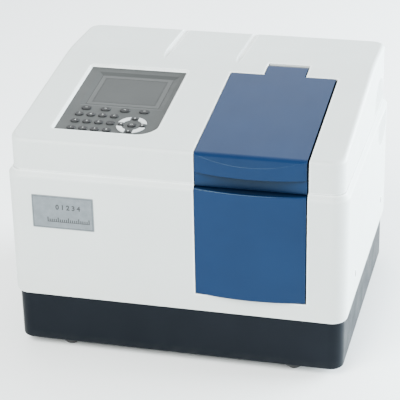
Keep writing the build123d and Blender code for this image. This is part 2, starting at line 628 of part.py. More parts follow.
def cell_carriage():
    """The four-cell holder: a slider on the rails and a block with square wells and beam holes."""
    long = (CELLS - 1) * CELL_PITCH + 24
    y0 = BEAM_Y - 12
    slider = upright(LID_MID - 44, LID_MID + 44, y0, y0 + long, RAIL_Z - 9, RAIL_Z + 9, 3)
    block = upright(LID_MID - 16, LID_MID + 16, y0, y0 + long, RAIL_Z + 5, BEAM_Z + 14)
    carriage = slider + fillet(block.edges().filter_by(Axis.Z), 2.0)
    for i in range(CELLS):
        y = BEAM_Y + i * CELL_PITCH
        carriage -= upright(LID_MID - 6.4, LID_MID + 6.4, y - 6.4, y + 6.4, RAIL_Z + 12, BEAM_Z + 20)
        carriage -= rod((LID_MID - 30, y, BEAM_Z), (LID_MID + 30, y, BEAM_Z), 4)
    bores = ((-RAIL_SPREAD, RAIL_R), (RAIL_SPREAD, RAIL_R), (0.0, SCREW_R))
    for dx, radius in bores:
        x = LID_MID + dx
        carriage -= rod((x, y0 - 5, RAIL_Z), (x, y0 + long + 5, RAIL_Z), radius + RUNNING)
    return carriage


def carriage_screw():
    """The drive screw between the rails, running into its motor."""
    return rod((LID_MID, TUB_Y0 + 0.5, RAIL_Z), (LID_MID, TUB_Y1 + 14, RAIL_Z), SCREW_R)


# ---------------------------------------------------------------- optics and electronics
def motor_block(face, direction, bore):
    """A square stepper motor with a blind bore for its driven shaft. face is the middle of its front."""
    out = Vector(*direction)
    plane = Plane(origin=face, x_dir=(1, 0, 0) if abs(out.X) < 0.5 else (0, 1, 0), z_dir=out)
    body = extrude(plane * RectangleRounded(MOTOR, MOTOR, 4), -MOTOR_LONG)
    return body - extrude(plane * Circle(bore + RUNNING), -15)


def stepper_motors():
    """Three like motors: cell carriage, grating and filter wheel."""
    gx, gy = GRATING_AT
    fx, fy, fz = FILTER_AT
    return Compound(
        [
            motor_block((LID_MID, TUB_Y1, RAIL_Z), (0, -1, 0), SCREW_R),
            motor_block((gx, gy, BENCH_Z), (0, 0, 1), SHAFT_R),
            motor_block((fx - 6, fy, fz), (1, 0, 0), SHAFT_R),
        ]
    )


def optical_bench():
    """The cast plate on the tray's pillars that carries all the optics."""
    bench = centred(WIDTH, DEPTH, BENCH_Z, BENCH_TOP, 12, 20)
    gx, gy = GRATING_AT
    bench -= rod((gx, gy, BENCH_Z - 2), (gx, gy, BENCH_TOP + 2), 5)
    sx, sy = SOURCE_AT
    bench -= rod((sx, sy, BENCH_Z - 2), (sx, sy, BENCH_TOP + 2), MIRROR_SHAFT_R + RUNNING)
    fx, fy, fz = FILTER_AT
    bench += upright(fx - 6 - MOTOR_LONG, fx - 6, fy - 12, fy + 12, BENCH_TOP - 1, fz - MOTOR / 2)
    for x in (-PILLAR_X, PILLAR_X):
        for y in PILLAR_YS:
            bench -= rod((x, y, BENCH_Z - 2), (x, y, BENCH_TOP + 2), 2.2)
    bench -= upright(-230, 230, REAR - 60, REAR, BENCH_Z - 2, BENCH_TOP + 2)
    return bench


def monochromator_case():
    """The light-tight cover over the grating and mirrors, with an entrance and an exit port."""
    x0, x1, y0, y1 = CASE_BOX
    case = upright(x0, x1, y0, y1, BENCH_TOP, CASE_TOP, 6)
    case = chamfer(case.edges().group_by(Axis.Z)[-1], 2)
    case -= upright(x0 + 3, x1 - 3, y0 + 3, y1 - 3, BENCH_TOP - 5, CASE_TOP - 3, 3)
    case -= rod((x1 - 6, BEAM_Y, BEAM_Z), (x1 + 2, BEAM_Y, BEAM_Z), 6)
    return case - rod((x1 - 6, y1 - 30, BEAM_Z), (x1 + 2, y1 - 30, BEAM_Z), 6)


def concave_mirrors():
    """The collimating and the focusing mirror, each standing on its foot."""
    mirrors = []
    for x, y in ((-178, FRONT + 110), (-178, FRONT + 160)):
        stand = upright(x - 6, x + 6, y - 20, y + 20, BENCH_TOP, BEAM_Z + 24)
        dish = Pos(x + 206, y, BEAM_Z) * Sphere(202)
        mirrors.append(stand - (dish & rod((x, y, BEAM_Z), (x + 12, y, BEAM_Z), 18)))
    return Compound(mirrors)


def grating():
    """The ruled grating block on its turntable and shaft."""
    x, y = GRATING_AT
    table = rod((x, y, BENCH_TOP + 1), (x, y, BENCH_TOP + 9), 20)
    shaft = rod((x, y, BENCH_Z - 12), (x, y, BENCH_TOP + 3), SHAFT_R)
    block = upright(x - 5, x + 5, y - 16, y + 16, BENCH_TOP + 8, BEAM_Z + 18)
    return table + shaft + block


def filter_wheel():
    """The order-sorting filter wheel with its shaft."""
    x, y, z = FILTER_AT
    wheel = rod((x, y, z), (x + 3, y, z), FILTER_R) + rod((x - 16, y, z), (x + 4, y, z), SHAFT_R)
    for i in range(6):
        a = math.pi / 2 + i * math.pi / 3
        hole = (y + 24 * math.cos(a), z + 24 * math.sin(a))
        wheel -= rod((x - 1, *hole), (x + 5, *hole), 7)
    return wheel


def lamp_house():
    """The lamp housing beside the side vent, open below, slotted on its outer wall."""
    x0, x1, y0, y1 = LAMP_BOX
    house = upright(x0, x1, y0, y1, BENCH_TOP, LAMP_TOP, 3)
    house -= upright(x0 + 2, x1 - 2, y0 + 2, y1 - 2, BENCH_TOP - 5, LAMP_TOP - 2)
    for i in range(5):
        y = (y0 + y1) / 2 + (i - 2) * 14
        house -= upright(x1 - 5, x1 + 5, y - 3, y + 3, 190, 248)
    return house - rod((x0 - 4, SOURCE_AT[1], BEAM_Z), (x0 + 4, SOURCE_AT[1], BEAM_Z), 7)


def lamp_stand(x, y):
    return upright(x - 12, x + 12, y - 12, y + 12, BENCH_TOP, BENCH_TOP + 30, 2)


def halogen_lamp():
    """The small tungsten lamp on its socket."""
    x, y = SOURCE_AT[0] + 50, LAMP_BOX[2] + 22
    bulb = rod((x, y, BENCH_TOP + 29), (x, y, BEAM_Z + 6), 5) + Pos(x, y, BEAM_Z + 6) * Sphere(5)
    return lamp_stand(x, y) + bulb


def deuterium_lamp():
    """The larger deuterium lamp on its socket."""
    x, y = SOURCE_AT[0] + 86, LAMP_BOX[3] - 30
    bulb = rod((x, y, BENCH_TOP + 29), (x, y, BEAM_Z + 20), 14) + Pos(x, y, BEAM_Z + 20) * Sphere(14)
    return lamp_stand(x, y) + bulb


def source_mirror():
    """The flat mirror that turns to pick one lamp, with its foot."""
    x, y = SOURCE_AT
    foot = rod((x, y, BENCH_TOP + 0.5), (x, y, BEAM_Z - 14), 5)
    foot += rod((x, y, BENCH_Z), (x, y, BENCH_TOP + 1), MIRROR_SHAFT_R)
    return foot + upright(x - 2, x + 2, y - 13, y + 13, BEAM_Z - 16, BEAM_Z + 14)


def detector_unit():
    """The photodiode block against the compartment's right wall."""
    x0 = TUB_X1 + 0.2
    block = upright(x0, x0 + 34, BEAM_Y - 28, BEAM_Y + 28, BENCH_TOP, BEAM_Z + 30, 3)
    return block - rod((x0 - 1, BEAM_Y, BEAM_Z), (x0 + 14, BEAM_Y, BEAM_Z), 8)


def main_board():
    """The main circuit board with its larger components."""
    z = FOOT_HEIGHT + BASE_WALL + 8
    board = upright(-170, 10, FRONT + 60, FRONT + 190, z, z + 1.6)
    for x in (-160, 0):
        for y in (FRONT + 70, FRONT + 180):
            board += rod((x, y, FOOT_HEIGHT + BASE_WALL), (x, y, z + 0.5), 4)
    board += upright(-130, -100, FRONT + 100, FRONT + 130, z + 1, z + 5)
    board += upright(-70, -50, FRONT + 90, FRONT + 110, z + 1, z + 4)
    for i in range(4):
        board += rod((-30, FRONT + 85 + i * 22, z + 1), (-30, FRONT + 85 + i * 22, z + 18), 6)
    return board


def power_supply():
    """The enclosed switching supply in the tray."""
    z = FOOT_HEIGHT + BASE_WALL
    box = upright(60, 160, FRONT + 90, FRONT + 250, z, z + 42)
    for i in range(7):
        box -= upright(72, 148, FRONT + 110 + i * 20, FRONT + 114 + i * 20, z + 40, z + 50)
    return box


# ---------------------------------------------------------------- rear
def rear_screw_places():
    wide, tall = REAR_PANEL
    xs = (-wide / 2 + 5, 0, wide / 2 - 5)
    return [(x, REAR_PANEL_Z + side * (tall / 2 - 4)) for x in xs for side in (-1, 1)]


def rear_panel():
    """The metal plate that carries the fan, sockets, inlet and switch."""
    wide, tall = REAR_PANEL
    low, high = REAR_PANEL_Z - tall / 2, REAR_PANEL_Z + tall / 2
    plate = upright(-wide / 2, wide / 2, REAR - REAR_PLATE, REAR, low, high)
    plate -= upright(INLET_X - 14, INLET_X + 14, REAR - 5, REAR + 5, INLET_Z - 10.5, INLET_Z + 10.5)
    wide, tall = ROCKER_SIZE
    plate -= upright(
        ROCKER_X - wide / 2 - 2, ROCKER_X + wide / 2 + 2, REAR - 5, REAR + 5,
        ROCKER_Z - tall / 2 - 2, ROCKER_Z + tall / 2 + 2,
    )
    for x in DATA_XS:
        plate -= upright(x - 9, x + 9, REAR - 5, REAR + 5, DATA_Z - 6, DATA_Z + 6)
    for i in range(GRILLE_SLOTS):
        off = (i - (GRILLE_SLOTS - 1) / 2) * GRILLE_PITCH
        z = REAR_PANEL_Z + off
        half = math.sqrt(GRILLE_R**2 - off**2)
        at = Plane(origin=(FAN_X, REAR + 2, z), x_dir=(1, 0, 0), z_dir=(0, -1, 0))
        plate -= extrude(at * SlotOverall(2 * half, 4.0), 6)
    for x, z in rear_screw_places():
        plate -= rod((x, REAR - 5, z), (x, REAR + 5, z), 2.1)
    return plate


def case_screws():
    """Ten pan-head screws: four through the shell's sides and six round the rear panel."""
    screws = []
    for sign in (-1, 1):
        for y in SCREW_YS:
            at = (sign * (WIDTH / 2 - 2), y, SCREW_Z)
            screws.append(pan_screw(at, (sign, 0, 0), shank=6.0, shank_r=1.85, head=1.8))
    for x, z in rear_screw_places():
        screws.append(pan_screw((x, REAR, z), (0, 1, 0), shank=5.0, shank_r=1.85))
    return Compound(screws)


def power_inlet():
    """The mains inlet with its rim and three pins."""
    body = upright(INLET_X - 13.7, INLET_X + 13.7, REAR - 26, REAR + 0.5, INLET_Z - 10.2, INLET_Z + 10.2)
    rim = upright(INLET_X - 17, INLET_X + 17, REAR, REAR + REAR_STAND_OFF, INLET_Z - 13, INLET_Z + 13)
    rim = fillet(rim.edges().filter_by(Axis.Y), 3)
    inlet = body + rim
    inlet -= upright(INLET_X - 12, INLET_X + 12, REAR - 17, REAR + 10, INLET_Z - 8.2, INLET_Z + 8.2)
    for dx, dz in ((-7, -1.5), (7, -1.5), (0, 2.5)):
        x, z = INLET_X + dx, INLET_Z + dz
        inlet += upright(x - 1, x + 1, REAR - 19, REAR - 3, z - 2, z + 2)
    return inlet


def power_rocker():
    """The rocker of the mains switch, turned to its off side, on its pivot."""
    wide, tall = ROCKER_SIZE
    half = wide / 2 - 0.9
    y, z = REAR - 4, ROCKER_Z
    points = [(-half, 5.4), (0, 3.4), (half, 4.4), (half - 1, -5), (-half + 1, -5)]
    corners = [(ROCKER_X + a, y + b, z - tall / 2 + 0.3) for a, b in points]
    rocker = extrude(make_face(Polyline(*corners, close=True)), tall - 0.6, dir=(0, 0, 1))
    return rocker - rod((ROCKER_X, y, z - 20), (ROCKER_X, y, z + 20), 1.5 + RUNNING)


def switch_frame():
    """The switch's snap-in frame, with the pin that the rocker turns on."""
    wide, tall = ROCKER_SIZE
    rim = (wide / 2 + 3.5, tall / 2 + 3.5)
    frame = upright(
        ROCKER_X - rim[0], ROCKER_X + rim[0], REAR, REAR + 1.6, ROCKER_Z - rim[1], ROCKER_Z + rim[1]
    )
    frame = fillet(frame.edges().filter_by(Axis.Y), 1.5)
    frame += upright(
        ROCKER_X - wide / 2 - 1.8, ROCKER_X + wide / 2 + 1.8, REAR - 18, REAR + 0.5,
        ROCKER_Z - tall / 2 - 1.8, ROCKER_Z + tall / 2 + 1.8,
    )
    frame -= upright(
        ROCKER_X - wide / 2 - 0.5, ROCKER_X + wide / 2 + 0.5, REAR - 14, REAR + 5,
        ROCKER_Z - tall / 2, ROCKER_Z + tall / 2,
    )
    return frame + rod(
        (ROCKER_X, REAR - 4, ROCKER_Z - tall / 2 - 1), (ROCKER_X, REAR - 4, ROCKER_Z + tall / 2 + 1), 1.5
    )


def data_sockets():
    """Two shielded data sockets behind the rear panel."""
    sockets = []
    for x in DATA_XS:
        body = upright(x - 8.7, x + 8.7, REAR - 18, REAR + 0.6, DATA_Z - 5.7, DATA_Z + 5.7)
        body -= upright(x - 7, x + 7, REAR - 14, REAR + 5, DATA_Z - 4, DATA_Z + 4)
        body += upright(x - 5.5, x + 5.5, REAR - 15, REAR - 6, DATA_Z - 1, DATA_Z + 1)
        sockets.append(body)
    return Compound(sockets)


def fan_frame():
    """The fan's square frame with its hub and three struts."""
    y1 = REAR - REAR_PLATE
    y0 = y1 - FAN_DEPTH
    half = FAN_SIZE / 2
    frame = upright(FAN_X - half, FAN_X + half, y0, y1, REAR_PANEL_Z - half, REAR_PANEL_Z + half)
    frame = fillet(frame.edges().filter_by(Axis.Y), 5)
    frame -= rod((FAN_X, y0 - 2, REAR_PANEL_Z), (FAN_X, y1 + 2, REAR_PANEL_Z), half - 2)
    hub = rod((FAN_X, y0, REAR_PANEL_Z), (FAN_X, y0 + 4, REAR_PANEL_Z), 16)
    for i in range(3):
        strut = Rot(0, 90 + i * 120, 0) * Pos(half / 2, 0, 0) * Box(half, 4, 4)
        strut = Pos(FAN_X, y0 + 2, REAR_PANEL_Z) * strut
        hub += strut & rod((FAN_X, y0, REAR_PANEL_Z), (FAN_X, y0 + 4, REAR_PANEL_Z), half - 1)
    return frame + hub + rod((FAN_X, y0 + 3, REAR_PANEL_Z), (FAN_X, y0 + 16, REAR_PANEL_Z), 2)


def fan_rotor():
    """The fan's hub with seven pitched blades."""
    y0 = REAR - REAR_PLATE - FAN_DEPTH + 5
    y1 = REAR - REAR_PLATE - 3
    hub = rod((FAN_X, y0, REAR_PANEL_Z), (FAN_X, y1, REAR_PANEL_Z), 15)
    reach = FAN_SIZE / 2 - 4
    rotor = hub
    for i in range(FAN_BLADES):
        blade = Pos((13 + reach) / 2, 0, 0) * Rot(38, 0, 0) * Box(reach - 13, 1.6, 17)
        blade = Pos(FAN_X, (y0 + y1) / 2, REAR_PANEL_Z) * Rot(0, i * 360 / FAN_BLADES, 0) * blade
        rotor += blade
    return rotor - rod((FAN_X, y0 - 2, REAR_PANEL_Z), (FAN_X, y0 + 13, REAR_PANEL_Z), 2 + RUNNING)


PIECES = {
    "rubber_feet": rubber_feet,
    "base_tray": base_tray,
    "lower_shell": lower_shell,
    "upper_cover": upper_cover,
    "nameplate": nameplate,
    "front_panel": front_panel,
    "compartment_lid": compartment_lid,
    "hinge_bracket": hinge_bracket,
    "hinge_pin": hinge_pin,
    "keypad_fascia": keypad_fascia,
    "display_window": display_window,
    "display_board": display_board,
    "navigation_ring": navigation_ring,
    "sample_tub": sample_tub,
    "compartment_seal": compartment_seal,
    "carriage_rails": carriage_rails,
    "cell_carriage": cell_carriage,
    "carriage_screw": carriage_screw,
    "stepper_motors": stepper_motors,
    "optical_bench": optical_bench,
    "monochromator_case": monochromator_case,
    "concave_mirrors": concave_mirrors,
    "grating": grating,
    "filter_wheel": filter_wheel,
    "lamp_house": lamp_house,
    "halogen_lamp": halogen_lamp,
    "deuterium_lamp": deuterium_lamp,
    "source_mirror": source_mirror,
    "detector_unit": detector_unit,
    "main_board": main_board,
    "power_supply": power_supply,
    "rear_panel": rear_panel,
    "case_screws": case_screws,
    "power_inlet": power_inlet,
    "power_rocker": power_rocker,
    "switch_frame": switch_frame,
    "data_sockets": data_sockets,
    "fan_frame": fan_frame,
    "fan_rotor": fan_rotor,
}


def main():
    os.makedirs("parts", exist_ok=True)
    for name, make in PIECES.items():
        export_step(make(), f"parts/{name}.step")
    for name, x, t, size in key_places():
        export_step(key(x, t, size), f"parts/{name}.step")


main()
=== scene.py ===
"""Looks of the bench spectrophotometer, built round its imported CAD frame. Metres, in the frame's own axes."""

import json
import math

import bmesh
import bpy
from mathutils import Matrix, Vector


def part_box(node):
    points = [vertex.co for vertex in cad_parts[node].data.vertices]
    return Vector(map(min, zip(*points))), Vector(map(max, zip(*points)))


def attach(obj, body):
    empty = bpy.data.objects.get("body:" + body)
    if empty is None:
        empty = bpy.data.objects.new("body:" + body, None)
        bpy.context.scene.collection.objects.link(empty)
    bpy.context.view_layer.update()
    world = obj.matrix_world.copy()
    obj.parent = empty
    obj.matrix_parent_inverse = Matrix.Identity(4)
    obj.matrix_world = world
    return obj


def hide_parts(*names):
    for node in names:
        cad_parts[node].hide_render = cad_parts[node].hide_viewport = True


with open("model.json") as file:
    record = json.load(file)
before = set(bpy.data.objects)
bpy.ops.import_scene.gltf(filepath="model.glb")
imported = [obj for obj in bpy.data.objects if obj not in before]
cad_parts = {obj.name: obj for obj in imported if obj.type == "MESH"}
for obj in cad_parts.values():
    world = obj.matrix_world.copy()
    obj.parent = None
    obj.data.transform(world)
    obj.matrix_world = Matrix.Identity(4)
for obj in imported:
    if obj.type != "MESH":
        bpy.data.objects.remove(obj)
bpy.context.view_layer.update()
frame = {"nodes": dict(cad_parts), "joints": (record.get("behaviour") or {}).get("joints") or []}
nodes = frame["nodes"]
MM = 0.001


# ---------------------------------------------------------------- landmarks, all from the frame
def middle(node):
    """The middle of a CAD node's box."""
    low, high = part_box(node)
    return (low + high) / 2


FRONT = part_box("lower_shell")[0].y
press = next(j for j in frame["joints"] if j["name"] == "enter_key_press")
OUT = -Vector(press["axis"]).normalized()  # out of the sloping deck
RIGHT = Vector((1, 0, 0))
UPHILL = OUT.cross(RIGHT).normalized()


def deck_matrix(point, lift=0.0):
    """A frame whose x is right, y is up the slope and z is out of the deck."""
    turn = Matrix((RIGHT, UPHILL, OUT)).transposed().to_4x4()
    return Matrix.Translation(point + OUT * lift) @ turn


def face_point(node):
    """The middle of a node, moved out of the deck to the node's outermost level."""
    centre = middle(node)
    level = max(v.co.dot(OUT) for v in nodes[node].data.vertices)
    return centre + OUT * (level - centre.dot(OUT))


# ---------------------------------------------------------------- camera
YAW, PITCH, ROLL = math.radians(14.68), math.radians(-24.56), -0.021
LENS, SENSOR = 134.3, 36  # millimetres, as Blender takes them
EYE = Vector((0.50255, FRONT - 1.76789, 1.09236))
aim = Vector((-math.sin(YAW) * math.cos(PITCH), math.cos(YAW) * math.cos(PITCH), math.sin(PITCH)))
side = aim.cross(Vector((0, 0, 1))).normalized()
level_up = side.cross(aim)
right = side * math.cos(ROLL) + level_up * math.sin(ROLL)
up = level_up * math.cos(ROLL) - side * math.sin(ROLL)
camera_data = bpy.data.cameras.new("camera")
camera_data.lens = LENS
camera_data.sensor_width = SENSOR
camera = bpy.data.objects.new("camera", camera_data)
camera.matrix_world = Matrix.Translation(EYE) @ Matrix((right, up, -aim)).transposed().to_4x4()
bpy.context.scene.collection.objects.link(camera)
bpy.context.scene.camera = camera


# ---------------------------------------------------------------- materials
PLAIN = (1.0, 1.0, 1.0)
BLACK = (0.0, 0.0, 0.0)
COAT_ROUGHNESS = 0.1
NOISE_ROUGHNESS = 0.55
EDGE_SAMPLES, CREVICE_SHADE_SAMPLES = 4, 8
EDGE_FULL, EDGE_NONE = 0.90, 0.99  # how nearly the rounded normal keeps to the face's own
MIX_FACTOR, MIX_FIRST, MIX_SECOND, MIX_COLOR = 0, 6, 7, 2  # a Mix node's colour sockets


class Shader:
    """A small builder for one node material with object-space procedural detail."""

    def __init__(self, name, metallic=0.0, ior=1.5, coat=0.0, alpha=1.0, gloss=0.5):
        self.material = bpy.data.materials.new(name)
        self.material.use_nodes = True
        self.tree = self.material.node_tree
        self.bsdf = self.tree.nodes["Principled BSDF"]
        self.bsdf.inputs["Metallic"].default_value = metallic
        self.bsdf.inputs["IOR"].default_value = ior
        self.bsdf.inputs["Coat Weight"].default_value = coat
        self.bsdf.inputs["Coat Roughness"].default_value = COAT_ROUGHNESS
        self.bsdf.inputs["Alpha"].default_value = alpha
        self.bsdf.inputs["Specular IOR Level"].default_value = gloss
        self.place = self.tree.nodes.new("ShaderNodeTexCoord").outputs["Object"]
        self.normal = None

    def node(self, kind, **inputs):
        """A new node, with inputs set by name."""
        made = self.tree.nodes.new(kind)
        for key, value in inputs.items():
            made.inputs[key.replace("_", " ")].default_value = value
        return made

    def link(self, a, b):
        self.tree.links.new(a, b)

    def stretch(self, scale):
        """Object positions scaled along each axis, to draw a texture out."""
        mapping = self.node("ShaderNodeMapping")
        mapping.inputs["Scale"].default_value = scale
        self.link(self.place, mapping.inputs["Vector"])
        return mapping.outputs["Vector"]

    def noise(self, size, detail=3.0, scale=(1, 1, 1)):
        """Noise with features about size metres across."""
        made = self.node("ShaderNodeTexNoise", Scale=1.0 / size, Detail=detail, Roughness=NOISE_ROUGHNESS)
        self.link(self.stretch(scale), made.inputs["Vector"])
        return made.outputs["Fac"]

    def cells(self, size):
        """Pebbles about size metres across."""
        made = self.node("ShaderNodeTexVoronoi", Scale=1.0 / size)
        self.link(self.place, made.inputs["Vector"])
        return made.outputs["Distance"]

    def ramp(self, source, low, high, start=0.3, end=0.7):
        """Maps source from [start, end] to [low, high], numbers or colours."""
        if isinstance(low, tuple):
            made = self.node("ShaderNodeValToRGB")
            made.color_ramp.elements[0].position = start
            made.color_ramp.elements[1].position = end
            made.color_ramp.elements[0].color = (*low, 1)
            made.color_ramp.elements[1].color = (*high, 1)
            self.link(source, made.inputs["Fac"])
            return made.outputs["Color"]
        made = self.node("ShaderNodeMapRange")
        made.inputs["From Min"].default_value = start
        made.inputs["From Max"].default_value = end
        made.inputs["To Min"].default_value = low
        made.inputs["To Max"].default_value = high
        self.link(source, made.inputs["Value"])
        return made.outputs["Result"]

    def mix(self, factor, first, second, blend="MIX"):
        """The colour between first and second, at a factor of 0 to 1."""
        made = self.node("ShaderNodeMix")
        made.data_type = "RGBA"
        made.blend_type = blend
        self._feed(made.inputs[MIX_FACTOR], factor)
        self._feed(made.inputs[MIX_FIRST], first)
        self._feed(made.inputs[MIX_SECOND], second)
        return made.outputs[MIX_COLOR]

    def _feed(self, socket, value):
        """Links a socket's value, or sets a colour or a number on it."""
        if isinstance(value, bpy.types.NodeSocket):
            self.link(value, socket)
        elif isinstance(value, tuple):
            socket.default_value = (*value, 1)
        else:
            socket.default_value = value

    def along(self, axis, start, end):
        """0 to 1 along an axis of the frame, between two positions in metres."""
        split = self.node("ShaderNodeSeparateXYZ")
        self.link(self.place, split.inputs[0])
        return self.ramp(split.outputs["XYZ".index(axis)], 0.0, 1.0, start, end)

    def edges(self, reach=1.2 * MM):
        """1 on edges within reach metres, 0 on flat faces."""
        rounded = self.node("ShaderNodeBevel", Radius=reach)
        rounded.samples = EDGE_SAMPLES
        facing = self.node("ShaderNodeVectorMath")
        facing.operation = "DOT_PRODUCT"
        self.link(rounded.outputs["Normal"], facing.inputs[0])
        self.link(self.node("ShaderNodeNewGeometry").outputs["Normal"], facing.inputs[1])
        return self.ramp(facing.outputs["Value"], 1.0, 0.0, EDGE_FULL, EDGE_NONE)

    def crevices(self, reach, low, high, darkest):
        """1 in the open, down to darkest where something stands within reach metres: painted shade in crevices
        and recesses.
        """
        made = self.node("ShaderNodeAmbientOcclusion", Distance=reach)
        made.samples = CREVICE_SHADE_SAMPLES
        return self.ramp(made.outputs["AO"], darkest, 1.0, low, high)

    def shaded(self, tint, factor):
        """tint darkened by a factor of 0 to 1."""
        return self.mix(factor, BLACK, tint)

    def times(self, first, second):
        """The product of two numbers."""
        made = self.tree.nodes.new("ShaderNodeMath")
        made.operation = "MULTIPLY"
        self._feed(made.inputs[0], first)
        self._feed(made.inputs[1], second)
        return made.outputs[0]

    def color(self, value):
        self._feed(self.bsdf.inputs["Base Color"], value)

    def rough(self, value):
        self._feed(self.bsdf.inputs["Roughness"], value)

    def bump(self, height, depth, strength=1.0):
        """Adds a bump of depth metres."""
        made = self.node("ShaderNodeBump", Strength=strength, Distance=depth)
        self.link(height, made.inputs["Height"])
        if self.normal:
            self.link(self.normal, made.inputs["Normal"])
        self.normal = made.outputs["Normal"]
        self.link(self.normal, self.bsdf.inputs["Normal"])


GRIME_SHARE, PAINT_RUB_SHARE = 0.5, 0.55
# reach of the painted highlight along moulded edges
MOULDED_HIGHLIGHT_REACH = 5 * MM
PEEL_DEPTH = 0.018 * MM
WARP_DEPTH = 0.12 * MM  # the slight unevenness of a large moulded face


def moulded(name, light, dark, grain=0.9 * MM, rough=(0.38, 0.5), depth=0.05 * MM, grime=None, gloss=0.35,
            crevice_shade=None, wear_and_highlight=None):
    """Moulded plastic: pebbled grain and a slow colour drift.

    grime is (height up to which dust is full, height where it ends, colour); the edge colour is a painted
    highlight laid along edges and creases; the crevice setting paints shade into crevices and recesses, taking
    what the crevice method takes.
    """
    s = Shader(name, gloss=gloss)
    drift = s.ramp(s.noise(90 * MM, 2.0), dark, light)
    speck = s.ramp(s.noise(0.7 * MM, 2.0), (0.93, 0.93, 0.93), PLAIN)
    tint = s.mix(1.0, drift, speck, "MULTIPLY")
    if grime:
        low, high, shade = grime
        dust = s.times(s.ramp(s.noise(14 * MM, 5.0), 0.0, 1.0, 0.35, 0.75), s.along("Z", high, low))
        tint = s.mix(s.times(dust, GRIME_SHARE), tint, shade)
    # painted highlight: a lighter colour laid along edges and creases where light would catch them
    if wear_and_highlight:
        rub_and_highlight = s.times(s.edges(MOULDED_HIGHLIGHT_REACH), s.ramp(s.noise(25 * MM, 3.0), 0.6, 1.0))
        tint = s.mix(rub_and_highlight, tint, wear_and_highlight)
    # painted shade: darker in crevices and recesses
    if crevice_shade:
        tint = s.shaded(tint, s.crevices(*crevice_shade))
    s.color(tint)
    s.rough(s.ramp(s.noise(30 * MM, 4.0), *rough))
    s.bump(s.cells(grain), depth, 0.55)
    s.bump(s.noise(45 * MM, 1.0), WARP_DEPTH, 0.25)
    return s.material


def painted(name, light, dark, rough=(0.285, 0.37), wear_and_highlight=None, peel=1.6 * MM, gloss=0.35, strength=0.6,
            crevice_shade=None, sheen=PLAIN):
    """Sprayed paint: orange peel, faint wipe marks, rubbed edges and, where asked, painted shade in crevices.
    """
    s = Shader(name, gloss=gloss)
    tint = s.ramp(s.noise(70 * MM, 2.0), dark, light)
    if wear_and_highlight:
        rub_and_highlight = s.times(s.edges(), s.ramp(s.noise(6 * MM, 4.0), 0.0, 1.0, 0.45, 0.7))
        tint = s.mix(s.times(rub_and_highlight, PAINT_RUB_SHARE), tint, wear_and_highlight)
    # painted shade: darker in crevices and recesses
    if crevice_shade:
        tint = s.shaded(tint, s.crevices(*crevice_shade))
    s.color(tint)
    s.bsdf.inputs["Specular Tint"].default_value = (*sheen, 1.0)
    s.rough(s.ramp(s.noise(16 * MM, 4.0, scale=(1, 0.25, 1)), *rough))
    s.bump(s.noise(peel, 2.0), PEEL_DEPTH, strength)
    return s.material


def metal(name, tone, rough=(0.25, 0.4), brush=(1, 1, 1), depth=0.006 * MM, grain=0.5 * MM):
    """Bare metal with a directional or even grain."""
    s = Shader(name, metallic=1.0)
    dark = tuple(c * 0.82 for c in tone)
    s.color(s.ramp(s.noise(8 * MM, 4.0), dark, tone))
    grained = s.noise(grain, 4.0, scale=brush)
    s.rough(s.ramp(grained, *rough))
    s.bump(grained, depth, 0.7)
    return s.material


def rubbery(name, tone, rough=(0.6, 0.8), grain=0.6 * MM, depth=0.04 * MM):
    """Dull rubber or foam with a fine grain."""
    s = Shader(name, ior=1.45)
    s.color(s.ramp(s.noise(12 * MM, 4.0), tuple(c * 0.7 for c in tone), tone))
    s.rough(s.ramp(s.noise(9 * MM, 4.0), *rough))
    s.bump(s.noise(grain, 3.0), depth, 0.8)
    return s.material


def glassy(name, dark, light, drift, smear, rough, smear_detail=3.0, **kinds):
    """Smooth glass or clear plastic; drift and smear are the sizes of its changes of colour and polish."""
    s = Shader(name, **kinds)
    s.color(s.ramp(s.noise(drift), dark, light))
    s.rough(s.ramp(s.noise(smear, smear_detail), *rough))
    return s.material


def paint_node(name, material):
    """Gives a CAD node a material."""
    target = nodes[name]
    target.data.materials.clear()
    target.data.materials.append(material)


# white: dust towards the bottom, painted shade in its crevices and a painted highlight along its edges and
# creases
white = moulded("white_moulding", (0.555, 0.583, 0.573), (0.53, 0.556, 0.547),
                grime=(88 * MM, 125 * MM, (0.55, 0.54, 0.50)), crevice_shade=(9 * MM, 0.35, 0.85, 0.62),
                wear_and_highlight=(0.90, 0.925, 0.92))
slate = moulded("slate_moulding", (0.0060, 0.0078, 0.0110), (0.0045, 0.0060, 0.0086), grain=1.3 * MM,
                rough=(0.34, 0.46), depth=0.06 * MM, grime=(10 * MM, 26 * MM, (0.020, 0.021, 0.022)),
                gloss=0.05)
# blue: painted shade in the recess under the lid's lip and in crevices; the lighter rubbed edges are wear
blue = painted("lid_blue", (0.0011, 0.0130, 0.0505), (0.0009, 0.0112, 0.0450), rough=(0.285, 0.345),
               wear_and_highlight=(0.03, 0.09, 0.22), gloss=0.155, strength=0.2, crevice_shade=(30 * MM, 0.40, 0.98, 0.24),
               sheen=(0.77, 1.0, 0.98))
fascia = moulded("fascia_grey", (0.046, 0.048, 0.048), (0.040, 0.042, 0.042), grain=0.45 * MM,
                 depth=0.02 * MM, gloss=0.14)
keycap = moulded("key_grey", (0.015, 0.015, 0.016), (0.011, 0.011, 0.012), grain=0.4 * MM,
                 depth=0.015 * MM, gloss=0.16)
silver = painted("ring_silver", (0.52, 0.53, 0.54), (0.43, 0.44, 0.45), rough=(0.285, 0.36),
                 peel=0.5 * MM)
foil = metal("plate_foil", (0.185, 0.205, 0.222), rough=(0.36, 0.5), brush=(0.06, 1, 1), grain=0.35 * MM)
rubber = rubbery("foot_rubber", (0.022, 0.022, 0.023))
foam = rubbery("seal_foam", (0.03, 0.03, 0.031), rough=(0.85, 0.95), grain=0.9 * MM, depth=0.15 * MM)
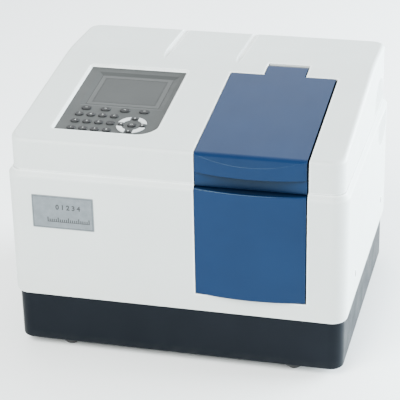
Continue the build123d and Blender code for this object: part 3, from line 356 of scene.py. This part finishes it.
anodised = painted("chamber_black", (0.040, 0.041, 0.043), (0.028, 0.029, 0.031), rough=(0.45, 0.6),
                   peel=0.5 * MM, wear_and_highlight=(0.16, 0.16, 0.16))
ground_steel = metal("ground_steel", (0.62, 0.62, 0.61), rough=(0.16, 0.3), brush=(1, 0.08, 1),
                     grain=0.3 * MM)
plated = metal("screw_plate", (0.70, 0.70, 0.69), rough=(0.14, 0.28), grain=0.25 * MM)
powder = painted("powder_grey", (0.33, 0.34, 0.335), (0.28, 0.29, 0.285), rough=(0.42, 0.55),
                 peel=1.1 * MM, wear_and_highlight=(0.5, 0.5, 0.48))
cast = metal("cast_bench", (0.50, 0.51, 0.52), rough=(0.38, 0.55), grain=1.2 * MM, depth=0.03 * MM)
mirror = metal("mirror_face", (0.88, 0.89, 0.90), rough=(0.02, 0.06), grain=2 * MM, depth=0.0005 * MM)
motor_can = painted("motor_can", (0.035, 0.035, 0.037), (0.022, 0.022, 0.024), rough=(0.32, 0.45))
socket_black = moulded("socket_black", (0.022, 0.022, 0.023), (0.015, 0.015, 0.016), grain=0.5 * MM,
                       depth=0.02 * MM)
lcd_border = painted("lcd_border", (0.056, 0.058, 0.058), (0.050, 0.052, 0.052), rough=(0.3, 0.4),
                     strength=0.05, gloss=0.12)
lcd_dark = painted("lcd_line", (0.018, 0.019, 0.019), (0.015, 0.016, 0.016), rough=(0.3, 0.4),
                   strength=0.05, gloss=0.12)
dark_ink = moulded("dark_ink", (0.030, 0.031, 0.033), (0.022, 0.023, 0.025), grain=0.3 * MM,
                   depth=0.004 * MM)
quartz_disc = glassy("port_window", (0.10, 0.115, 0.125), (0.15, 0.165, 0.175), 4 * MM, 2 * MM,
                     (0.04, 0.12), ior=1.46, coat=0.4)
board_green = painted("board_green", (0.02, 0.12, 0.05), (0.012, 0.085, 0.035), rough=(0.2, 0.32),
                      peel=0.8 * MM)
lcd_face = glassy("display_window", (0.029, 0.031, 0.031), (0.034, 0.036, 0.036), 60 * MM, 25 * MM,
                  (0.10, 0.18), smear_detail=4.0, ior=1.49, gloss=0.12)
quartz = glassy("lamp_quartz", (0.75, 0.78, 0.80), (0.85, 0.87, 0.88), 10 * MM, 5 * MM, (0.03, 0.12),
                alpha=0.4, ior=1.46)
ink = moulded("legend_ink", (0.46, 0.47, 0.46), (0.40, 0.41, 0.40), grain=0.3 * MM, depth=0.005 * MM)

for name, material in {
    "lower_shell": white, "upper_cover": white, "base_tray": slate, "compartment_lid": blue,
    "front_panel": blue, "keypad_fascia": fascia, "navigation_ring": silver, "nameplate": foil,
    "rubber_feet": rubber, "compartment_seal": foam, "sample_tub": anodised, "cell_carriage": anodised,
    "monochromator_case": anodised, "detector_unit": anodised, "carriage_rails": ground_steel,
    "carriage_screw": ground_steel, "hinge_pin": ground_steel, "case_screws": plated,
    "hinge_bracket": powder, "rear_panel": powder, "lamp_house": powder, "power_supply": powder,
    "data_sockets": plated, "optical_bench": cast, "filter_wheel": cast, "concave_mirrors": mirror,
    "grating": mirror, "source_mirror": mirror, "stepper_motors": motor_can,
    "power_inlet": socket_black, "power_rocker": socket_black, "switch_frame": socket_black,
    "fan_frame": socket_black, "fan_rotor": socket_black, "main_board": board_green,
    "display_board": board_green, "display_window": lcd_face, "halogen_lamp": quartz,
    "deuterium_lamp": quartz,
}.items():
    paint_node(name, material)
for name in (n for n in nodes if "_key" in n):
    paint_node(name, keycap)


# ---------------------------------------------------------------- pieces
PRINT, PRINT_LIFT, LEGEND_THICK = 0.03 * MM, 0.01 * MM, 0.05 * MM


def piece(name, mesh, material, body):
    """A visual piece that rides a body and takes a colour slot."""
    made = bpy.data.objects.new(name, mesh)
    bpy.context.scene.collection.objects.link(made)
    made.data.materials.clear()
    made.data.materials.append(material)
    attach(made, body)
    return made


def flat_text(name, text, size, thick, bolder=0.0):
    """Text as a thin mesh, centred on the origin in its own plane."""
    curve = bpy.data.curves.new(name, "FONT")
    curve.body = text
    curve.size = size
    curve.align_x = "CENTER"
    curve.align_y = "CENTER"
    curve.extrude = thick / 2
    curve.offset = bolder
    source = bpy.data.objects.new(name + "_text", curve)
    bpy.context.scene.collection.objects.link(source)
    bpy.context.view_layer.update()
    mesh = bpy.data.meshes.new_from_object(source)
    bpy.data.objects.remove(source)
    mesh.transform(Matrix.Translation((0, 0, thick / 2)))
    return mesh


def legend(name, text, point, size, body, material):
    """A printed mark of raised ink, lying on the deck frame at point."""
    mesh = flat_text(name, text, size, LEGEND_THICK)
    mesh.transform(deck_matrix(point, PRINT_LIFT))
    return piece(name, mesh, material, body)


def prisms(name, outlines, thick, matrix):
    """A mesh of flat closed prisms, one for each outline, standing thick above the matrix's own plane."""
    mesh = bpy.data.meshes.new(name)
    builder = bmesh.new()
    for outline in outlines:
        low = [builder.verts.new((x, y, 0)) for x, y in outline]
        high = [builder.verts.new((x, y, thick)) for x, y in outline]
        builder.faces.new(low[::-1])
        builder.faces.new(high)
        for i, (a, b) in enumerate(zip(low, low[1:] + low[:1])):
            builder.faces.new((a, b, high[(i + 1) % len(high)], high[i]))
    bmesh.ops.recalc_face_normals(builder, faces=builder.faces)
    builder.to_mesh(mesh)
    builder.free()
    mesh.transform(matrix)
    return mesh


def oblong(wide, tall, x=0.0, y=0.0):
    """The corners of a rectangle centred at x, y."""
    return [(x - wide / 2, y - tall / 2), (x + wide / 2, y - tall / 2),
            (x + wide / 2, y + tall / 2), (x - wide / 2, y + tall / 2)]


def frame_line(wide, tall, line):
    """The four mitred strips of a rectangular border whose outside measures wide by tall."""
    outer, inner = oblong(wide, tall), oblong(wide - 2 * line, tall - 2 * line)
    return [[outer[i], outer[(i + 1) % 4], inner[(i + 1) % 4], inner[i]] for i in range(4)]


def tube(name, rows):
    """A mesh through rings of points, one ring for each row, capped at both ends."""
    mesh = bpy.data.meshes.new(name)
    count = len(rows[0])
    faces = []
    for r in range(len(rows) - 1):
        for i in range(count):
            j = (i + 1) % count
            faces.append((r * count + i, r * count + j, (r + 1) * count + j, (r + 1) * count + i))
    faces.append(tuple(range(count))[::-1])
    faces.append(tuple((len(rows) - 1) * count + i for i in range(count)))
    mesh.from_pydata([p for row in rows for p in row], [], faces)
    for polygon in mesh.polygons:
        polygon.use_smooth = True
    return mesh


# ---------------------------------------------------------------- key marks
WORD_SIZE, DIGIT_SIZE = 3.2 * MM, 4.4 * MM
MARKS = {f"digit_key_{i}": str(i) for i in range(10)}
MARKS.update({f"function_key_{i}": f"F{i}" for i in range(1, 5)})
MARKS.update({"point_key": ".", "clear_key": "C", "enter_key": "OK"})
for key_name, mark in MARKS.items():
    size = WORD_SIZE if len(mark) > 1 else DIGIT_SIZE
    legend(key_name + "_legend", mark, face_point(key_name), size, key_name, ink)

ARROW_LIFT = 0.02 * MM
ARROW = [(-1.5 * MM, -1.0 * MM), (1.5 * MM, -1.0 * MM), (0.0, 1.5 * MM)]
for turn, way in enumerate(("up", "left", "down", "right")):
    key_name = "arrow_key_" + way
    c, d = round(math.cos(turn * math.pi / 2)), round(math.sin(turn * math.pi / 2))
    arrow = [(x * c - y * d, x * d + y * c) for x, y in ARROW]
    mesh = prisms(key_name + "_mark", [arrow], PRINT, deck_matrix(face_point(key_name), ARROW_LIFT))
    piece(key_name + "_mark", mesh, ink, key_name)

# ---------------------------------------------------------------- display
SCREEN = (106 * MM, 84 * MM)
SCREEN_MARGIN, SCREEN_LINE = 6.0 * MM, 1.3 * MM
screen_place = deck_matrix(face_point("display_window"), PRINT_LIFT)
band = prisms("lcd_border", frame_line(*SCREEN, SCREEN_MARGIN), PRINT, screen_place)
piece("lcd_border", band, lcd_border, "instrument")
inner_size = [v - 2 * SCREEN_MARGIN for v in SCREEN]
line = prisms("lcd_line", frame_line(*inner_size, SCREEN_LINE), PRINT, screen_place)
piece("lcd_line", line, lcd_dark, "instrument")

# ---------------------------------------------------------------- nameplate print
plate_low, plate_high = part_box("nameplate")
plate_mid = (plate_low + plate_high) / 2
plate_size = plate_high - plate_low
PLATE_MARGIN, PLATE_LINE = 3 * MM, 0.5 * MM
PRINT_X, NUMBERS_Y, NUMBERS_SIZE, NUMBERS_BOLDER = 8 * MM, 8.0 * MM, 10.0 * MM, 0.35 * MM
TICKS, TICK_PITCH, TICK_WIDE = 21, 3.0, 1.5 * MM
TICK_LONG, TICK_SHORT, TICK_FOOT = 6.4, 3.8, -13.8
SCALE_LONG, SCALE_THICK, SCALE_Y = 62 * MM, 0.9 * MM, -14.2 * MM
FACING = Matrix(((1, 0, 0), (0, 0, 1), (0, -1, 0))).transposed().to_4x4()  # a face that looks along -Y
plate_face = Matrix.Translation(Vector((plate_mid.x, plate_low.y, plate_mid.z))) @ FACING
border_size = (plate_size.x - PLATE_MARGIN, plate_size.z - PLATE_MARGIN)
border = prisms("plate_border", frame_line(*border_size, PLATE_LINE), PRINT, plate_face)
piece("plate_border", border, dark_ink, "instrument")
ticks = [oblong(SCALE_LONG, SCALE_THICK, PRINT_X, SCALE_Y)]
for i in range(TICKS):
    long = TICK_LONG if i % 5 == 0 else TICK_SHORT
    across = (i - TICKS // 2) * TICK_PITCH * MM + PRINT_X
    ticks.append(oblong(TICK_WIDE, long * MM, across, (long / 2 + TICK_FOOT) * MM))
piece("plate_scale", prisms("plate_scale", ticks, PRINT, plate_face), dark_ink, "instrument")
numbers = flat_text("plate_numbers", "0 1 2 3 4", NUMBERS_SIZE, PRINT, NUMBERS_BOLDER)
numbers.transform(plate_face @ Matrix.Translation((PRINT_X, NUMBERS_Y, 0)))
piece("plate_numbers", numbers, dark_ink, "instrument")

# ---------------------------------------------------------------- carriage screw and beam windows
screw_low, screw_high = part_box("carriage_screw")
screw_mid = middle("carriage_screw")
SCREW_R = (screw_high.x - screw_low.x) / 2
LEAD, STARTS, THREAD = 22 * MM, 8, 0.55 * MM
FLANK, CREST = 2.2, 0.05  # slope of the thread's flank and the width of its flat crest
SCREW_STEP, SCREW_SIDES = 0.5 * MM, 48
rows = []
steps = int((screw_high.y - screw_low.y) / SCREW_STEP)
for r in range(steps + 1):
    y = screw_low.y + (screw_high.y - screw_low.y) * r / steps
    ring = []
    for i in range(SCREW_SIDES):
        a = i * math.tau / SCREW_SIDES
        phase = (a / math.tau + (y - screw_low.y) / LEAD) * STARTS % 1.0
        radius = SCREW_R - THREAD * min(1.0, max(0.0, FLANK * abs(phase - 0.5) - CREST))
        ring.append((screw_mid.x + radius * math.cos(a), y, screw_mid.z + radius * math.sin(a)))
    rows.append(ring)
thread_mesh = tube("carriage_screw_thread", rows)
thread = piece("carriage_screw_thread", thread_mesh, ground_steel, "carriage_screw")
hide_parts("carriage_screw")

# windows over the compartment's two beam ports
tub_low, tub_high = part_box("sample_tub")
BEAM_BELOW_TOP = 30 * MM
BEAM_Y, BEAM_Z = middle("detector_unit").y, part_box("detector_unit")[1].z - BEAM_BELOW_TOP
WALL, PORT_SIDES = 2.5 * MM, 40
# radius and distance in from the wall, in millimetres
COLLAR = [(9.5, 0.05), (9.5, 0.9), (9.0, 1.3), (6.6, 1.3), (6.2, 0.9), (6.2, 0.05)]
DISC = [(6.1, 0.1), (6.1, 0.5), (5.8, 0.6)]


def turned(name, profile, x, inward):
    """A mesh turned about the beam, from a profile measured inward from the wall at x."""
    angles = [i * math.tau / PORT_SIDES for i in range(PORT_SIDES)]
    rings = []
    for radius, reach in profile:
        r, at = radius * MM, x + inward * (reach * MM)
        rings.append([(at, BEAM_Y + r * math.cos(a), BEAM_Z + r * math.sin(a)) for a in angles])
    return tube(name, rings)


for side_name, x, way in (("left", tub_low.x + WALL, 1), ("right", tub_high.x - WALL, -1)):
    mesh = turned("port_collar_" + side_name, COLLAR, x, way)
    piece("port_collar_" + side_name, mesh, ground_steel, "instrument")
    mesh = turned("port_window_" + side_name, DISC, x, way)
    piece("port_window_" + side_name, mesh, quartz_disc, "instrument")


# ---------------------------------------------------------------- floor and light
WORLD = 1.0
FLOOR_HALF = 9.0
LIGHTS = {  # name: place, what it aims at, width and height, watts, colour
    "side_box": ((2.3, 1.3, 0.75), (0.1, 0, 0.2), (2.6, 1.5), 720, (0.82, 0.95, 1.0)),
    "front_key": ((-0.9, -2.3, 2.3), (0, 0, 0.2), (2.0, 2.2), 320, (0.93, 1.0, 0.98)),
    "back_box": ((-0.5, 1.9, 1.9), (0.1, 0, 0.3), (3.0, 2.2), 54, (0.94, 0.98, 1.0)),
}


def soft_light(name, place, aim_at, size, power, tint):
    """A rectangular area light."""
    data = bpy.data.lights.new(name, "AREA")
    data.shape = "RECTANGLE"
    data.size, data.size_y = size
    data.energy = power
    data.color = tint
    made = bpy.data.objects.new(name, data)
    direction = Vector(aim_at) - Vector(place)
    turn = direction.to_track_quat("-Z", "Y").to_matrix().to_4x4()
    made.matrix_world = Matrix.Translation(place) @ turn
    bpy.context.scene.collection.objects.link(made)


def studio():
    """A pale floor, an even white world and three soft lights."""
    floor_mesh = bpy.data.meshes.new("floor")
    corners = [(x * FLOOR_HALF, y * FLOOR_HALF, 0) for x, y in ((-1, -1), (1, -1), (1, 1), (-1, 1))]
    floor_mesh.from_pydata(corners, [], [(0, 1, 2, 3)])
    floor = bpy.data.objects.new("floor", floor_mesh)
    bpy.context.scene.collection.objects.link(floor)
    s = Shader("floor")
    s.color(s.ramp(s.noise(0.6, 2.0), (0.86, 0.86, 0.86), (0.88, 0.88, 0.88)))
    s.rough(0.7)
    floor.data.materials.append(s.material)
    world = bpy.data.worlds.new("studio")
    world.use_nodes = True
    background = world.node_tree.nodes["Background"]
    background.inputs["Color"].default_value = (*PLAIN, 1)
    background.inputs["Strength"].default_value = WORLD
    bpy.context.scene.world = world
    for name, settings in LIGHTS.items():
        soft_light(name, *settings)


studio()
